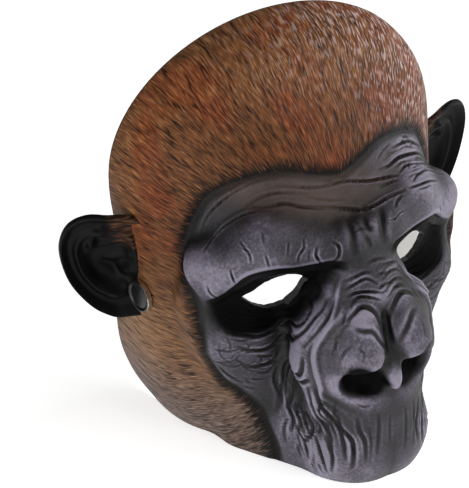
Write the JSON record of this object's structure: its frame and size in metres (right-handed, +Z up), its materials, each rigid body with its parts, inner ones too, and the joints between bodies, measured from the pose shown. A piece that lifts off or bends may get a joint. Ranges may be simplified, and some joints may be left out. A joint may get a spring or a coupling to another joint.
{
  "type": "gorilla mask",
  "caption": "Latex gorilla half mask with a domed crown, heavy brows, open eyes, broad nose, cupped ears and snap fasteners.",
  "frame": {"origin": "middle of the bounding box on the plane that the bottom rim stands on", "axes": "+Z up from the rim to the crown, the face looks along -Y, the wearer's right side is at -X"},
  "size_m": [0.2534, 0.155, 0.2257],
  "materials": {
    "latex_skin": "painted latex: brown hair, dark grey face",
    "latex_ear": "satin black latex",
    "nickel": "polished nickel plate"
  },
  "bodies": {
    "root": {"mask_shell": "latex_skin", "ear_right": "latex_ear", "ear_left": "latex_ear", "snap_cap_right": "nickel", "snap_cap_left": "nickel", "snap_stud_right": "nickel", "snap_stud_left": "nickel"}
  },
  "joints": []
}
